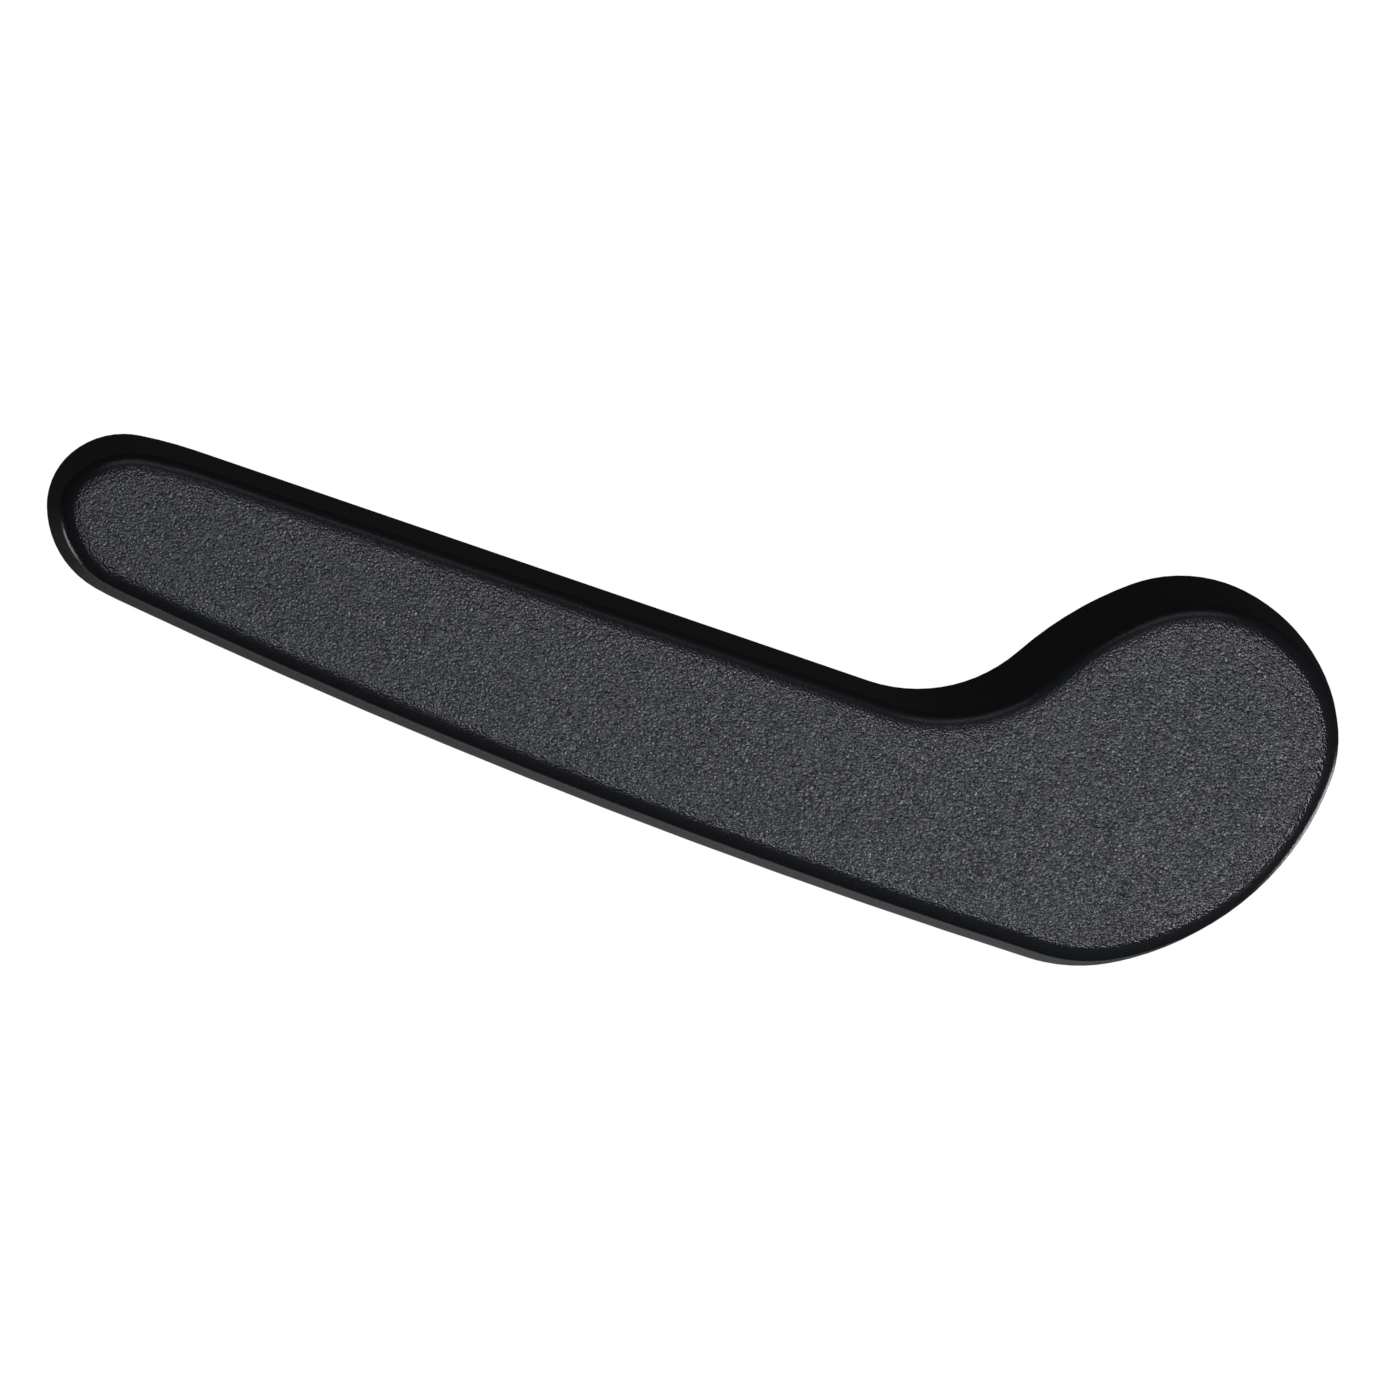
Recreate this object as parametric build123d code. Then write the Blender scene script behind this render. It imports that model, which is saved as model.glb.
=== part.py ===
"""Car seat recliner lever: one moulded handle with a hollow ribbed back, and the wire clip of its shaft socket.

The lever is drawn in its own plane: `along` runs from the tip of the arm towards the hub, `across` runs
up across the arm, and depth runs from the seat towards the front face. The shaft axis is the origin, and
depth 0 is the end face of the boss that meets the shoulder of the shaft.
"""
import os
from math import atan2, cos, hypot, radians, sin, sqrt, tan

from build123d import *

# Pose: the arm points to the left and rises from the shaft
arm_rise = 20.0

# Shell
rim_gap = 2.0
shell_depth = 18.0
wall = 2.5
front_round = 3.3
rim_chamfer = 0.3
floor_chamfer = 1.0
front_depth = rim_gap + shell_depth
floor_depth = front_depth - wall

# Outline of the rim, clockwise from the front: key circles as (along, across, radius, radius of the arc to the next).
# A negative radius is a hollow curve, and None is a straight edge.
rim_circles = [
    (-149.5, -12.7, 9.9, 11.5),
    (-140.3, -63.7, 62.3, None),
    (-40.4, 22.4, -22.0, 51.8),
    (4.0, 10.4, 20.6, 25.1),
    (8.2, 9.8, 19.0, 41.4),
    (-5.6, -5.0, 24.2, 1077.9),
    (-140.2, 22.3, 47.8, 13.6),
]
# Outline of the front before its edge is rounded. The underside has an even draft, and the upper side leans further
# back, most of all over the hub. Each arc spans the same angle as the rim's own, so the sides stay smooth.
front_circles = [
    (-151.64, -13.50, 5.91, 12.52),
    (-138.25, -66.15, 62.44, None),
    (-36.90, 21.93, -23.82, 44.26),
    (6.77, 7.64, 19.69, 19.33),
    (9.01, 9.80, 16.49, 39.7),
    (-5.60, -5.00, 22.50, 1076.2),
    (-140.20, 22.30, 46.10, 11.9),
]

# Shaft boss and socket
boss_radius = 11.0
boss_draft = 1.0
boss_chamfer = 0.5
pilot_radius = 8.0
pilot_depth = 5.0
socket_radius = 7.1
socket_flats = 11.0
socket_depth = floor_depth

# Back ribs
rib_thickness = 1.6
rib_draft = 0.75
rib_top = rim_gap + 3.0
rib_root = 0.6
rib_base = floor_depth + rib_root
rib_pitch = 17.0
rib_first = -146.0
rib_count = 8
cross_rib_span = 60.0
spine_across = -14.3
spine_bend = -60.0
hub_rib_top = 9.6
hub_rib_angles = [137.0, 77.0, 17.0, -43.0, -103.0]
hub_rib_reach = 34.0

# Round marks that the ejector pins leave in the pockets of the back
ejector_radius = 2.0
ejector_mark = 0.2
ejector_across = 6.0
ejector_pockets = [1, 3, 5]
ejector_upper = [3]

# Wire clip across the boss
wire = 1.6
leg_offset = 7.2
leg_end = 12.0
flare = 1.4
flare_length = 3.5
bend_radius = 2.5
bridge_gap = 0.3
slot_width = 1.9
slot_height = 1.7
slot_floor = 8.0
clip_depth = slot_floor - wire / 2

lever_plane = Plane(
    origin=(0, 0, 0),
    x_dir=(cos(radians(arm_rise)), 0, -sin(radians(arm_rise))),
    z_dir=(0, -1, 0),
)


def link_centre(first, second, radius):
    """Centre of the arc of a given radius that touches two circles of the outline."""
    reach_1 = abs(radius - first[2])
    reach_2 = abs(radius - second[2])
    run = (second[0] - first[0], second[1] - first[1])
    span = hypot(*run)
    foot = (span**2 + reach_1**2 - reach_2**2) / (2 * span)
    side = sqrt(reach_1**2 - foot**2)
    if (radius - first[2]) * (radius - second[2]) * radius > 0:
        side = -side
    return (
        first[0] + (foot * run[0] - side * run[1]) / span,
        first[1] + (foot * run[1] + side * run[0]) / span,
        radius,
    )


def touch_angle(first, second, straight):
    """Direction, from both centres, of the point or straight edge where two neighbours meet."""
    run = atan2(second[1] - first[1], second[0] - first[0])
    if straight:
        ratio = (first[2] - second[2]) / hypot(second[0] - first[0], second[1] - first[1])
        return run + atan2(sqrt(1 - ratio**2), ratio)
    if first[2] < second[2]:
        return run + radians(180)
    return run


def on_circle(circle, angle):
    """Point of a circle at an angle in radians."""
    return (circle[0] + circle[2] * cos(angle), circle[1] + circle[2] * sin(angle))


def between(near, far, share):
    """Number at a share of the way from one to another, or None for a straight edge."""
    return None if near is None else near + (far - near) * share


def outline(inset, depth):
    """Closed wire of the drafted sides at a depth, moved inwards by an inset."""
    share = (depth - rim_gap) / shell_depth
    keys = []
    for rim, front in zip(rim_circles, front_circles):
        along, across, radius, link = [between(near, far, share) for near, far in zip(rim, front)]
        keys.append((along, across, radius - inset, link))
    arcs = []
    straights = []
    for key, following in zip(keys, keys[1:] + keys[:1]):
        arcs.append(key[:3])
        straights.append(key[3] is None)
        if key[3] is not None:
            arcs.append(link_centre(key, following, key[3] - inset))
            straights.append(False)
    pairs = zip(arcs, arcs[1:] + arcs[:1], straights)
    angles = [touch_angle(first, second, straight) for first, second, straight in pairs]
    edges = []
    for index, arc in enumerate(arcs):
        start = angles[index - 1]
        sweep = (angles[index] - start + radians(180)) % radians(360) - radians(180)
        if arc[2] > 0 and sweep > 0:
            sweep -= radians(360)
        first = on_circle(arc, start)
        middle = on_circle(arc, start + sweep / 2)
        last = on_circle(arc, start + sweep)
        edges.append(Edge.make_three_point_arc(first, middle, last))
        if straights[index]:
            edges.append(Edge.make_line(last, on_circle(arcs[(index + 1) % len(arcs)], angles[index])))
    return Wire(edges).moved(Location((0, 0, depth)))


def drafted(inset, near, far):
    """Solid with the drafted sides of the shell, moved inwards by an inset, between two depths."""
    return Solid.make_loft([outline(inset, depth) for depth in (near, far)], ruled=True)


def at_depth(solid, depth):
    """Edges of a solid that lie in the plane of a depth."""
    return solid.edges().filter_by_position(Axis.Z, depth - 0.01, depth + 0.01)


def make_shell():
    """Rounded outer form, hollowed from the back to an even wall."""
    outer = drafted(0, rim_gap, front_depth)
    outer = outer.fillet(front_round, at_depth(outer, front_depth))
    cavity = drafted(wall, rim_gap, floor_depth)
    outer = outer.chamfer(rim_chamfer, None, at_depth(outer, rim_gap))
    cavity = cavity.chamfer(floor_chamfer, None, at_depth(cavity, floor_depth))
    return outer - cavity


def rib(footprint, top):
    """Rib drawn out of the mould from the front wall to a depth, thinner at its free edge."""
    root = rib_base - top
    return extrude(Pos(0, 0, rib_base) * footprint, amount=root, dir=(0, 0, -1), taper=rib_draft)


def make_ribs():
    """Spine along the arm that bends into the boss, cross ribs at an even pitch, and ribs round the boss."""
    bend_run = -spine_bend
    bend = (bend_run**2 + spine_across**2) / (2 * -spine_across)
    turn = atan2(bend_run, bend + spine_across)
    middle = (spine_bend + bend * sin(turn / 2), spine_across + bend * (1 - cos(turn / 2)))
    tip = rim_circles[0][0] - rim_circles[0][2]
    straight = Line((tip, spine_across), (spine_bend, spine_across))
    curve = ThreePointArc((spine_bend, spine_across), middle, (0, 0))
    ribs = [rib(trace(line, rib_thickness), rib_top) for line in (straight, curve)]
    for index in range(rib_count):
        place = Pos(rib_first + index * rib_pitch, spine_across)
        ribs.append(rib(place * Rectangle(rib_thickness, cross_rib_span), rib_top))
    for angle in hub_rib_angles:
        place = Rot(0, 0, angle) * Pos(hub_rib_reach / 2, 0)
        ribs.append(rib(place * Rectangle(hub_rib_reach, rib_thickness), hub_rib_top))
    within = drafted(wall - rib_root, rim_gap, rib_base)
    return [piece & within for piece in ribs]


def make_boss():
    """Drafted post for the shaft, from the front wall to its end face."""
    spread = rib_base * tan(radians(boss_draft))
    post = Solid.make_cone(boss_radius, boss_radius + spread, rib_base)
    return post.chamfer(boss_chamfer, None, at_depth(post, 0))


def make_socket():
    """Space in the boss: a round pilot at the mouth, then two flats that turn the lever with the shaft."""
    pilot = Pos(0, 0, pilot_depth / 2) * Cylinder(pilot_radius, pilot_depth)
    lead_in = Solid.make_cone(pilot_radius + boss_chamfer, pilot_radius, boss_chamfer)
    length = socket_depth - pilot_depth
    keyed = Cylinder(socket_radius, length) & Box(2 * socket_radius, socket_flats, length)
    return pilot + lead_in + Pos(0, 0, pilot_depth + length / 2) * keyed


def make_handle():
    """The whole moulding."""
    handle = make_shell() + make_boss()
    for piece in make_ribs():
        handle += piece
    handle -= make_socket()
    slot = Box(slot_width, 2 * leg_end, slot_height)
    for side in (-1, 1):
        handle -= Pos(side * leg_offset, 0, slot_floor - slot_height / 2) * slot
    mark = Cylinder(ejector_radius, 2 * ejector_mark)
    for pocket in ejector_pockets:
        along = rib_first + (pocket + 0.5) * rib_pitch
        side = 1 if pocket in ejector_upper else -1
        handle -= Pos(along, spine_across + side * ejector_across, floor_depth) * mark
    return handle


def make_clip():
    """Spring wire bent to a flat U: two legs through the boss, a bridge outside it and flared ends."""
    bridge = -(boss_radius + wire / 2 + bridge_gap)
    half = [(leg_offset, bridge), (leg_offset, leg_end), (leg_offset + flare, leg_end + flare_length)]
    route = [(-along, across) for along, across in reversed(half)] + half
    path = FilletPolyline(*route, radius=bend_radius)
    section = Plane(path @ 0, z_dir=path % 0) * Circle(wire / 2)
    return Pos(0, 0, clip_depth) * sweep(section, path)


def write(name, solid):
    """Sets a piece in the lever's place and writes it under its name."""
    export_step(lever_plane.location * solid, f"parts/{name}.step")


os.makedirs("parts", exist_ok=True)
write("lever_handle", make_handle())
write("retaining_clip", make_clip())
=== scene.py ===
"""Studio scene of the car seat recliner lever: its finishes, floor, drape, lamps and camera."""
import logging
from dataclasses import dataclass, field
from enum import Enum
from math import atan, cos, radians, sin
from typing import Any

import bmesh
import bpy
from mathutils import Matrix, Vector

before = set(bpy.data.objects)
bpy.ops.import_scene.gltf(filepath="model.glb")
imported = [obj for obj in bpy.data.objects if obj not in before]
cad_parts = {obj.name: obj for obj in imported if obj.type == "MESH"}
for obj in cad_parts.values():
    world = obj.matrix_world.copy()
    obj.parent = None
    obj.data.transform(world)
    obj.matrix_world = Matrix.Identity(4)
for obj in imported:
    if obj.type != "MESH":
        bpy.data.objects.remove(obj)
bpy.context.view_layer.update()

LOG = logging.getLogger("lever")

Colour = tuple[float, float, float]
Point = tuple[float, float, float]
Paint = tuple[float, float, float, float]
MIDDLE: Point = (-0.061475, -0.002, 0.011259)
HUB: Point = (0.0, -0.01, 0.0)
TIP: Point = (-0.14, -0.02, 0.04)
WHITE: Colour = (1.0, 1.0, 1.0)


def opaque(colour: Colour) -> Paint:
    """Colour with full opacity, as a node's colour socket takes it."""
    return (*colour, 1.0)


class WhiteFor(Enum):
    """Kinds of ray that meet white surroundings, by the Light Path output that tells them apart."""

    CAMERA = "Is Camera Ray"
    GLOSS = "Is Glossy Ray"
    GLASS = "Is Transmission Ray"


class NodeSheet:
    """Short ways to place and join nodes in one node tree."""

    def __init__(self, tree: bpy.types.NodeTree) -> None:
        """Keeps the tree.

        Args:
            tree: the node tree to fill.
        """
        self.tree = tree

    def add(
        self, kind: str, settings: dict[str, Any] | None = None, **values: Any
    ) -> bpy.types.Node:
        """Places a node.

        Args:
            kind: the node's type name.
            settings: attributes of the node, such as its operation.
            **values: input sockets by name, with underscores for spaces. A socket is joined, and
                anything else is set.

        Returns:
            The new node.
        """
        node = self.tree.nodes.new(kind)
        for name, value in (settings or {}).items():
            setattr(node, name, value)
        for name, value in values.items():
            self.feed(node.inputs[name.replace("_", " ")], value)
        return node

    def feed(self, socket: bpy.types.NodeSocket, value: Any) -> None:
        """Joins or sets one input socket.

        Args:
            socket: the input.
            value: an output socket to join, or a constant.
        """
        if isinstance(value, bpy.types.NodeSocket):
            self.tree.links.new(value, socket)
        else:
            socket.default_value = value

    def math(self, operation: str, *values: Any) -> bpy.types.NodeSocket:
        """Places a Math node.

        Args:
            operation: the node's operation.
            *values: its inputs in order.

        Returns:
            Its output socket.
        """
        node = self.add("ShaderNodeMath", {"operation": operation})
        for socket, value in zip(node.inputs, values):
            self.feed(socket, value)
        return node.outputs[0]

    def ramp(self, value: bpy.types.NodeSocket, low: float, high: float) -> bpy.types.NodeSocket:
        """Smooth step of a value from 0 at low to 1 at high.

        Args:
            value: the value to step.
            low: where the step starts.
            high: where it ends.

        Returns:
            The stepped value.
        """
        node = self.add("ShaderNodeMapRange", {"interpolation_type": "SMOOTHSTEP"}, Value=value)
        node.inputs["From Min"].default_value = low
        node.inputs["From Max"].default_value = high
        return node.outputs["Result"]

    def blend(
        self, factor: bpy.types.NodeSocket, first: Colour, second: Colour
    ) -> bpy.types.NodeSocket:
        """Colour between two others.

        Args:
            factor: 0 for the first colour and 1 for the second.
            first: one colour.
            second: the other colour.

        Returns:
            The blended colour.
        """
        node = self.add("ShaderNodeMix", {"data_type": "RGBA"}, Factor=factor)
        node.inputs["A"].default_value = opaque(first)
        node.inputs["B"].default_value = opaque(second)
        return node.outputs["Result"]

    def background_mask(self) -> bpy.types.NodeSocket:
        """Tells by Light Path which rays meet a white background.

        Returns:
            1 for those rays and 0 for the rest.
        """
        rays = self.add("ShaderNodeLightPath")
        seen: Any = 0.0
        for kind in WhiteFor:
            seen = self.math("MAXIMUM", seen, rays.outputs[kind.value])
        return seen


def new_group(
    name: str, inputs: dict[str, str], outputs: dict[str, str]
) -> tuple[NodeSheet, bpy.types.Node, bpy.types.Node]:
    """Makes an empty shader node group with named sockets.

    Args:
        name: the group's name.
        inputs: input socket types by name.
        outputs: output socket types by name.

    Returns:
        Its sheet, its input node and its output node.
    """
    tree = bpy.data.node_groups.new(name, "ShaderNodeTree")
    for label, kind in inputs.items():
        tree.interface.new_socket(name=label, in_out="INPUT", socket_type=kind)
    for label, kind in outputs.items():
        tree.interface.new_socket(name=label, in_out="OUTPUT", socket_type=kind)
    sheet = NodeSheet(tree)
    return sheet, tree.nodes.new("NodeGroupInput"), tree.nodes.new("NodeGroupOutput")


@dataclass(frozen=True)
class EtchedGrain:
    """Grain of an etched mould: small blunt cells with a finer roughness on them.

    Lengths are in cells, so that one scale sizes the whole pattern.
    """

    name: str = "etched_grain"
    bend: float = 0.4
    bend_detail: float = 1.0
    smoothness: float = 0.35
    fine_scale: float = 2.6
    fine_detail: float = 2.0
    fine_roughness: float = 0.6
    pit_start: float = 0.25
    pit_end: float = 0.75

    def build(self) -> bpy.types.NodeTree:
        """Makes the node group.

        Returns:
            The group, with Vector, Scale and Finer in, and Height and Pits out.
        """
        inputs = {
            "Vector": "NodeSocketVector",
            "Scale": "NodeSocketFloat",
            "Finer": "NodeSocketFloat",
        }
        outputs = {"Height": "NodeSocketFloat", "Pits": "NodeSocketFloat"}
        sheet, given, result = new_group(self.name, inputs, outputs)
        vector, scale = given.outputs["Vector"], given.outputs["Scale"]
        cells = sheet.add(
            "ShaderNodeTexVoronoi",
            {"feature": "SMOOTH_F1"},
            Vector=self.bent(sheet, vector, scale),
            Scale=scale,
            Smoothness=self.smoothness,
        )
        fine = sheet.add(
            "ShaderNodeTexNoise",
            Vector=vector,
            Scale=sheet.math("MULTIPLY", scale, self.fine_scale),
            Detail=self.fine_detail,
            Roughness=self.fine_roughness,
        )
        distance = cells.outputs["Distance"]
        domes = sheet.math("SUBTRACT", 1.0, distance)
        rough = sheet.math("MULTIPLY", fine.outputs["Fac"], given.outputs["Finer"])
        sheet.feed(result.inputs["Height"], sheet.math("ADD", domes, rough))
        # Pits is 1 in the low ground between the cells; the plastic paints shade into its colour
        # there and roughens it.
        sheet.feed(result.inputs["Pits"], sheet.ramp(distance, self.pit_start, self.pit_end))
        return sheet.tree

    def bent(
        self, sheet: NodeSheet, vector: bpy.types.NodeSocket, scale: bpy.types.NodeSocket
    ) -> bpy.types.NodeSocket:
        """Moves the coordinates a little at random, so that the cells lie less evenly.

        Args:
            sheet: the group's sheet.
            vector: the coordinates.
            scale: cells to the metre.

        Returns:
            The moved coordinates.
        """
        noise = sheet.add(
            "ShaderNodeTexNoise", Vector=vector, Scale=scale, Detail=self.bend_detail
        )
        shift = sheet.add("ShaderNodeVectorMath", {"operation": "SUBTRACT"})
        sheet.feed(shift.inputs[0], noise.outputs["Color"])
        shift.inputs[1].default_value = (0.5, 0.5, 0.5)
        scaled = sheet.add("ShaderNodeVectorMath", {"operation": "SCALE"})
        sheet.feed(scaled.inputs[0], shift.outputs[0])
        sheet.feed(scaled.inputs["Scale"], sheet.math("DIVIDE", self.bend, scale))
        moved = sheet.add("ShaderNodeVectorMath", {"operation": "ADD"})
        sheet.feed(moved.inputs[0], vector)
        sheet.feed(moved.inputs[1], scaled.outputs[0])
        return moved.outputs[0]


@dataclass(frozen=True)
class MouldedPlastic:
    """Black plastic from an etched mould: grained on the front, faintly on the sides and inside."""

    name: str = "black_plastic"
    colour: Colour = (0.0095, 0.0100, 0.0115)
    # Darker colour for the grain's pits: painted shade in the low ground between the cells, not a
    # tone of the plastic.
    pit_shade_colour: Colour = (0.0060, 0.0064, 0.0074)
    roughness: float = 0.19
    pit_roughness: float = 0.08
    specular: float = 0.5
    cells_per_metre: float = 2900.0
    finer: float = 0.05
    front_depth: float = 0.00019
    side_share: float = 0.12
    front_from: float = 0.86
    front_full: float = 0.995

    def build(self, group: bpy.types.NodeTree) -> bpy.types.Material:
        """Makes the material.

        Args:
            group: the grain group.

        Returns:
            The material.
        """
        material = bpy.data.materials.new(self.name)
        material.use_nodes = True
        sheet = NodeSheet(material.node_tree)
        shader = material.node_tree.nodes["Principled BSDF"]
        place = sheet.add("ShaderNodeTexCoord")
        grain = sheet.add(
            "ShaderNodeGroup",
            {"node_tree": group},
            Vector=place.outputs["Object"],
            Scale=self.cells_per_metre,
            Finer=self.finer,
        )
        facing = sheet.add("ShaderNodeSeparateXYZ", Vector=place.outputs["Normal"])
        towards_front = sheet.math("MULTIPLY", facing.outputs["Y"], -1.0)
        front = sheet.ramp(towards_front, self.front_from, self.front_full)
        share = sheet.math("MULTIPLY_ADD", front, 1.0 - self.side_share, self.side_share)
        height = sheet.math("MULTIPLY", grain.outputs["Height"], share)
        bump = sheet.add("ShaderNodeBump", Height=height, Distance=self.front_depth, Strength=1.0)
        pits = grain.outputs["Pits"]
        gloss = sheet.math("MULTIPLY_ADD", pits, self.pit_roughness, self.roughness)
        # Blends towards the darker pit colour where the grain is low: painted shade in its pits.
        sheet.feed(shader.inputs["Base Color"], sheet.blend(pits, self.colour, self.pit_shade_colour))
        sheet.feed(shader.inputs["Roughness"], gloss)
        sheet.feed(shader.inputs["Normal"], bump.outputs["Normal"])
        shader.inputs["Specular IOR Level"].default_value = self.specular
        return material


@dataclass(frozen=True)
class SpringSteel:
    """Spring wire: bright, with a faint mottle in its colour and gloss."""

    name: str = "spring_steel"
    colour: Colour = (0.55, 0.55, 0.54)
    worn_colour: Colour = (0.42, 0.415, 0.40)
    roughness: float = 0.26
    mottle_roughness: float = 0.16
    mottle_per_metre: float = 2600.0
    mottle_detail: float = 3.0

    def build(self) -> bpy.types.Material:
        """Makes the material.

        Returns:
            The material.
        """
        material = bpy.data.materials.new(self.name)
        material.use_nodes = True
        sheet = NodeSheet(material.node_tree)
        shader = material.node_tree.nodes["Principled BSDF"]
        place = sheet.add("ShaderNodeTexCoord")
        noise = sheet.add(
            "ShaderNodeTexNoise",
            Vector=place.outputs["Object"],
            Scale=self.mottle_per_metre,
            Detail=self.mottle_detail,
        )
        mottle = noise.outputs["Fac"]
        gloss = sheet.math("MULTIPLY_ADD", mottle, self.mottle_roughness, self.roughness)
        sheet.feed(shader.inputs["Base Color"], sheet.blend(mottle, self.colour, self.worn_colour))
        sheet.feed(shader.inputs["Roughness"], gloss)
        shader.inputs["Metallic"].default_value = 1.0
        return material


@dataclass(frozen=True)
class StudioPaint:
    """Plain matt paint of the floor or of a drape, which may glow or be white as a background."""

    name: str
    colour: Colour
    glow: float = 0.0
    white: bool = False
    roughness: float = 0.8
    specular: float = 0.1

    def build(self) -> bpy.types.Material:
        """Makes the material.

        Returns:
            The material.
        """
        material = bpy.data.materials.new(self.name)
        material.use_nodes = True
        shader = material.node_tree.nodes["Principled BSDF"]
        shader.inputs["Base Color"].default_value = opaque(self.colour)
        shader.inputs["Roughness"].default_value = self.roughness
        shader.inputs["Specular IOR Level"].default_value = self.specular
        shader.inputs["Emission Color"].default_value = opaque(WHITE)
        shader.inputs["Emission Strength"].default_value = self.glow
        if self.white:
            sheet = NodeSheet(material.node_tree)
            plain = sheet.add("ShaderNodeEmission", Color=opaque(WHITE), Strength=1.0)
            mix = sheet.add("ShaderNodeMixShader", Fac=sheet.background_mask())
            sheet.feed(mix.inputs[1], shader.outputs["BSDF"])
            sheet.feed(mix.inputs[2], plain.outputs["Emission"])
            surface = material.node_tree.nodes["Material Output"].inputs["Surface"]
            sheet.feed(surface, mix.outputs["Shader"])
        return material


@dataclass
class Dressing:
    """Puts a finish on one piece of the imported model."""

    node: str

    def wear(self, material: bpy.types.Material) -> bpy.types.Object:
        """Assigns a material to every slot of the piece.

        Args:
            material: the finish.

        Returns:
            The piece.
        """
        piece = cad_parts[self.node]
        slots = piece.material_slots
        for slot in slots:
            slot.material = material
        if not slots:
            piece.data.materials.append(material)
        LOG.info("%s wears %s", self.node, material.name)
        return piece


@dataclass
class LeverHandle:
    """The moulded lever."""

    finish: MouldedPlastic = field(default_factory=MouldedPlastic)
    grain: EtchedGrain = field(default_factory=EtchedGrain)

    def build(self) -> bpy.types.Object:
        """Dresses the moulding.

        Returns:
            The piece.
        """
        return Dressing("lever_handle").wear(self.finish.build(self.grain.build()))


@dataclass
class RetainingClip:
    """The bent wire in the hub's socket."""

    finish: SpringSteel = field(default_factory=SpringSteel)

    def build(self) -> bpy.types.Object:
        """Dresses the wire.

        Returns:
            The piece.
        """
        return Dressing("retaining_clip").wear(self.finish.build())


@dataclass(frozen=True)
class SoftBox:
    """One rectangular lamp, which the camera doesn't see."""

    name: str
    azimuth: float
    elevation: float
    distance: float
    width: float
    height: float
    power: float
    aim: Point = MIDDLE
    colour: Colour = (0.95, 0.97, 1.0)

    def place(self) -> bpy.types.Object:
        """Adds the lamp, turned towards the point that it lights.

        Returns:
            The lamp.
        """
        data = bpy.data.lights.new(self.name, "AREA")
        data.shape = "RECTANGLE"
        data.size = self.width
        data.size_y = self.height
        data.energy = self.power
        data.color = self.colour
        lamp = bpy.data.objects.new(self.name, data)
        bpy.context.scene.collection.objects.link(lamp)
        out = direction(self.azimuth, self.elevation)
        lamp.location = Vector(self.aim) + out * self.distance
        lamp.rotation_euler = (-out).to_track_quat("-Z", "Y").to_euler()
        lamp.visible_camera = False
        return lamp


def direction(azimuth: float, elevation: float) -> Vector:
    """Unit vector from the object towards a viewer or a lamp.

    Args:
        azimuth: degrees round the object, 0 in front of it and 90 on its right in the picture.
        elevation: degrees above the horizon.

    Returns:
        The vector.
    """
    flat = cos(radians(elevation))
    turn = radians(azimuth)
    return Vector((sin(turn) * flat, -cos(turn) * flat, sin(radians(elevation))))


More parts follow.
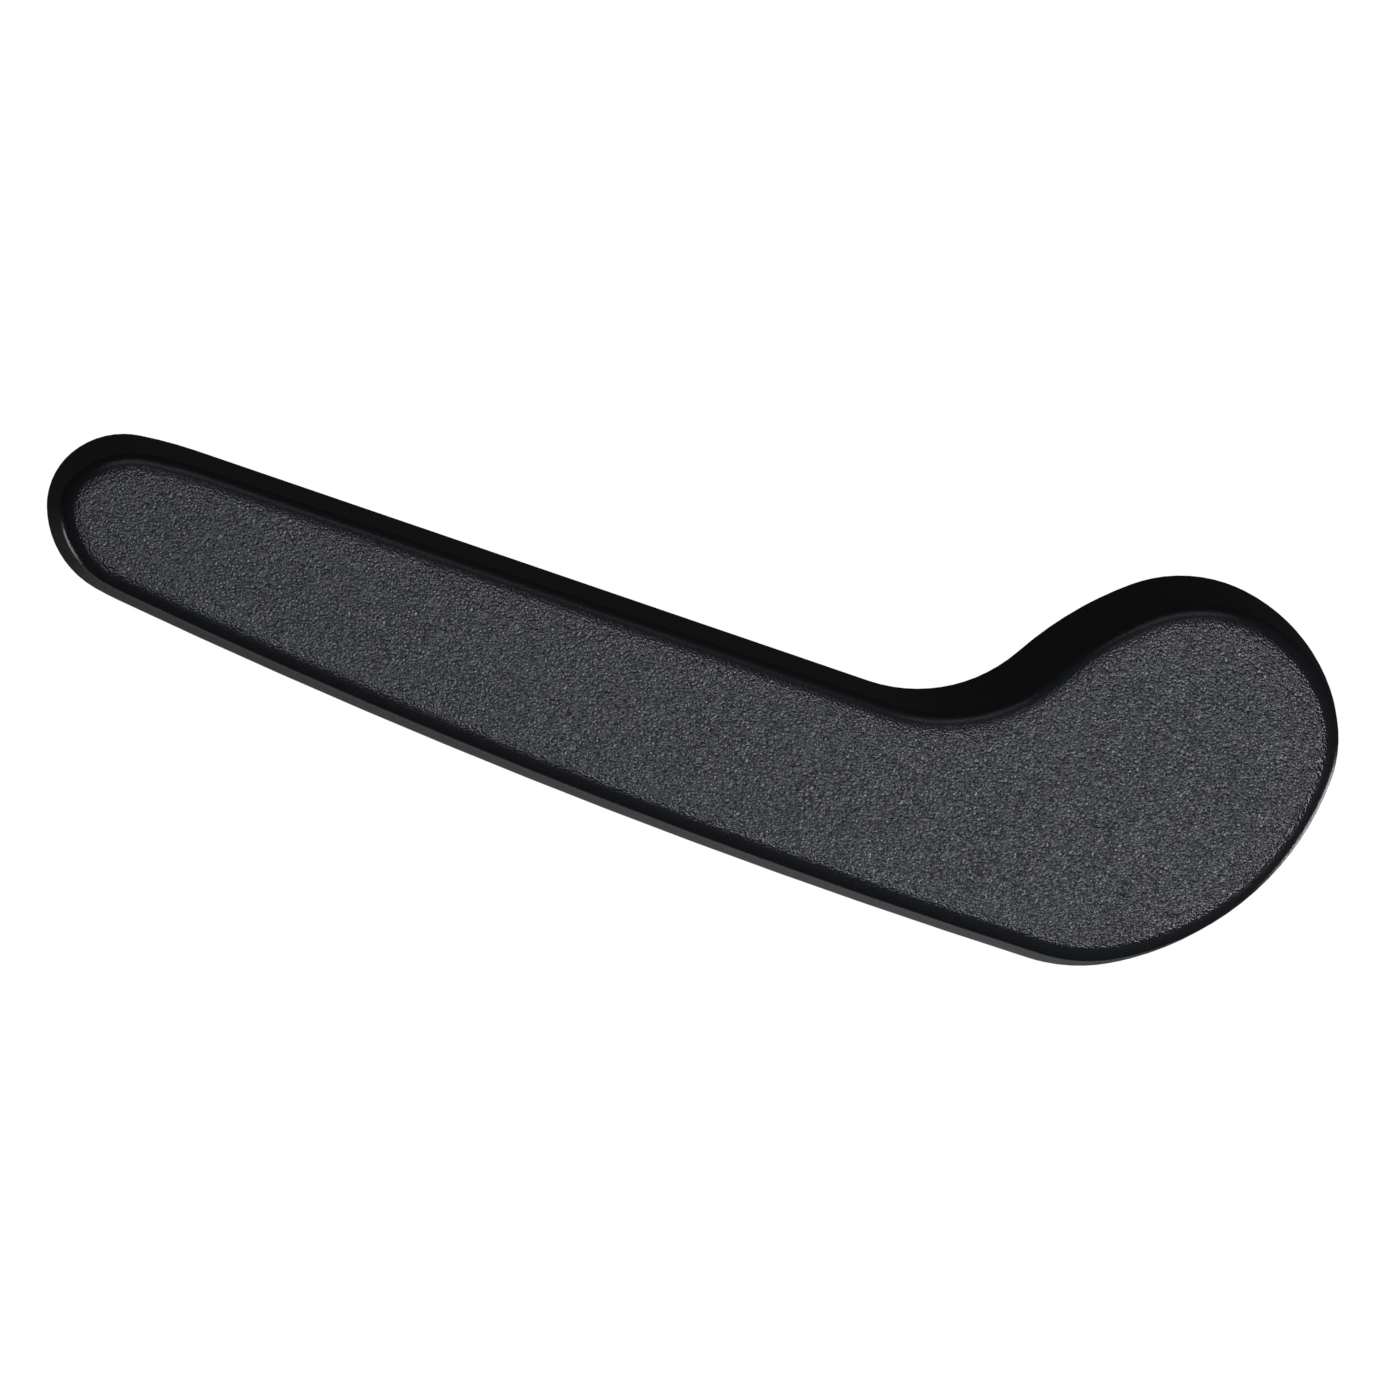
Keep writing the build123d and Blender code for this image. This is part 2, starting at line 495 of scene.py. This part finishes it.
@dataclass
class Studio:
    """Pale floor, lamps, dark drape, white surroundings and camera."""

    target: Point = MIDDLE
    camera_azimuth: float = -3.8
    camera_elevation: float = 2.2
    camera_distance: float = 2.2
    frame_width: float = 0.2
    sensor: float = 36.0
    clip_start: float = 0.01
    floor_level: float = -2.3
    floor_radius: float = 6.0
    floor_segments: int = 96
    floor_paint: StudioPaint = StudioPaint("floor_paint", (0.75, 0.75, 0.75), white=True)
    fill: Colour = (0.05, 0.05, 0.052)
    drape_radius: float = 2.2
    drape_rings: int = 24
    drape_paint: StudioPaint = StudioPaint("drape_paint", (0.004, 0.004, 0.004), glow=0.013)
    lamps: tuple[SoftBox, ...] = (
        SoftBox("front_left", -25.0, -6.0, 0.9, 0.4, 0.4, 1.85),
        SoftBox("front_hub", 10.0, -10.0, 0.42, 0.25, 0.15, 0.75, HUB),
        SoftBox("side_hub", 35.0, -25.0, 0.42, 0.2, 0.15, 1.05, HUB),
        SoftBox("low_left", -15.0, -40.0, 0.6, 0.3, 0.12, 0.45, TIP),
        SoftBox("high_front", 0.0, 35.0, 1.5, 1.2, 0.4, 3.25),
        SoftBox("overhead", 0.0, 75.0, 1.5, 1.2, 0.4, 0.9),
        SoftBox("rear_low", 180.0, -20.0, 1.0, 0.8, 0.2, 0.12),
        SoftBox("rear", 176.2, 0.0, 1.5, 0.12, 0.12, 4.0),
        SoftBox("rear_right", 135.0, -18.0, 1.2, 0.35, 0.35, 1.2),
        SoftBox("rear_left", 225.0, -18.0, 1.2, 0.35, 0.35, 0.8),
    )

    def build(self) -> None:
        """Builds the whole studio."""
        self.make_floor()
        self.make_drape()
        self.make_world()
        for lamp in self.lamps:
            lamp.place()
            LOG.info("lamp %s placed", lamp.name)
        self.make_camera()

    def add_stage(self, name: str, mesh: bmesh.types.BMesh, paint: StudioPaint) -> bpy.types.Object:
        """Turns a mesh into a stage piece.

        Args:
            name: the piece's name.
            mesh: its shape, which is freed.
            paint: its paint.

        Returns:
            The stage piece.
        """
        data = bpy.data.meshes.new(name)
        mesh.to_mesh(data)
        mesh.free()
        data.materials.append(paint.build())
        piece = bpy.data.objects.new(name, data)
        bpy.context.scene.collection.objects.link(piece)
        LOG.info("stage %s made", name)
        return piece

    def make_floor(self) -> None:
        """Round white floor below the drape."""
        mesh = bmesh.new()
        centre = Matrix.Translation((self.target[0], self.target[1], self.floor_level))
        bmesh.ops.create_circle(
            mesh,
            cap_ends=True,
            segments=self.floor_segments,
            radius=self.floor_radius,
            matrix=centre,
        )
        self.add_stage("floor", mesh, self.floor_paint)

    def make_drape(self) -> None:
        """Closed dark drape round the lever and its lamps, which the camera doesn't see.

        It keeps the white floor and surroundings out of the gloss, and the lamps off the floor.
        """
        mesh = bmesh.new()
        bmesh.ops.create_uvsphere(
            mesh,
            u_segments=2 * self.drape_rings,
            v_segments=self.drape_rings,
            radius=self.drape_radius,
        )
        drape = self.add_stage("drape", mesh, self.drape_paint)
        drape.visible_camera = False

    def make_world(self) -> None:
        """White outside the drape for camera, gloss and glass, with a faint fill for the rest."""
        world = bpy.data.worlds.new("surroundings")
        world.use_nodes = True
        bpy.context.scene.world = world
        sheet = NodeSheet(world.node_tree)
        world.node_tree.nodes.clear()
        dim = sheet.add("ShaderNodeBackground", Color=opaque(self.fill), Strength=1.0)
        white = sheet.add("ShaderNodeBackground", Color=opaque(WHITE), Strength=1.0)
        mix = sheet.add("ShaderNodeMixShader", Fac=sheet.background_mask())
        sheet.feed(mix.inputs[1], dim.outputs[0])
        sheet.feed(mix.inputs[2], white.outputs[0])
        sheet.add("ShaderNodeOutputWorld", Surface=mix.outputs[0])

    def make_camera(self) -> None:
        """Camera a little to the left of and above the front face, as in the picture."""
        data = bpy.data.cameras.new("camera")
        data.sensor_width = self.sensor
        data.lens = self.sensor * self.camera_distance / self.frame_width
        data.clip_start = self.clip_start
        camera = bpy.data.objects.new("camera", data)
        bpy.context.scene.collection.objects.link(camera)
        out = direction(self.camera_azimuth, self.camera_elevation)
        camera.location = Vector(self.target) + out * self.camera_distance
        camera.rotation_euler = (-out).to_track_quat("-Z", "Y").to_euler()
        bpy.context.scene.camera = camera
        LOG.info("camera with a %.0f mm lens", data.lens)


def main() -> None:
    """Builds every piece in order."""
    logging.basicConfig(level=logging.INFO, format="%(name)s: %(message)s")
    LeverHandle().build()
    RetainingClip().build()
    Studio().build()
    bpy.context.scene.view_settings.view_transform = "Standard"


if __name__ == "__main__":
    main()
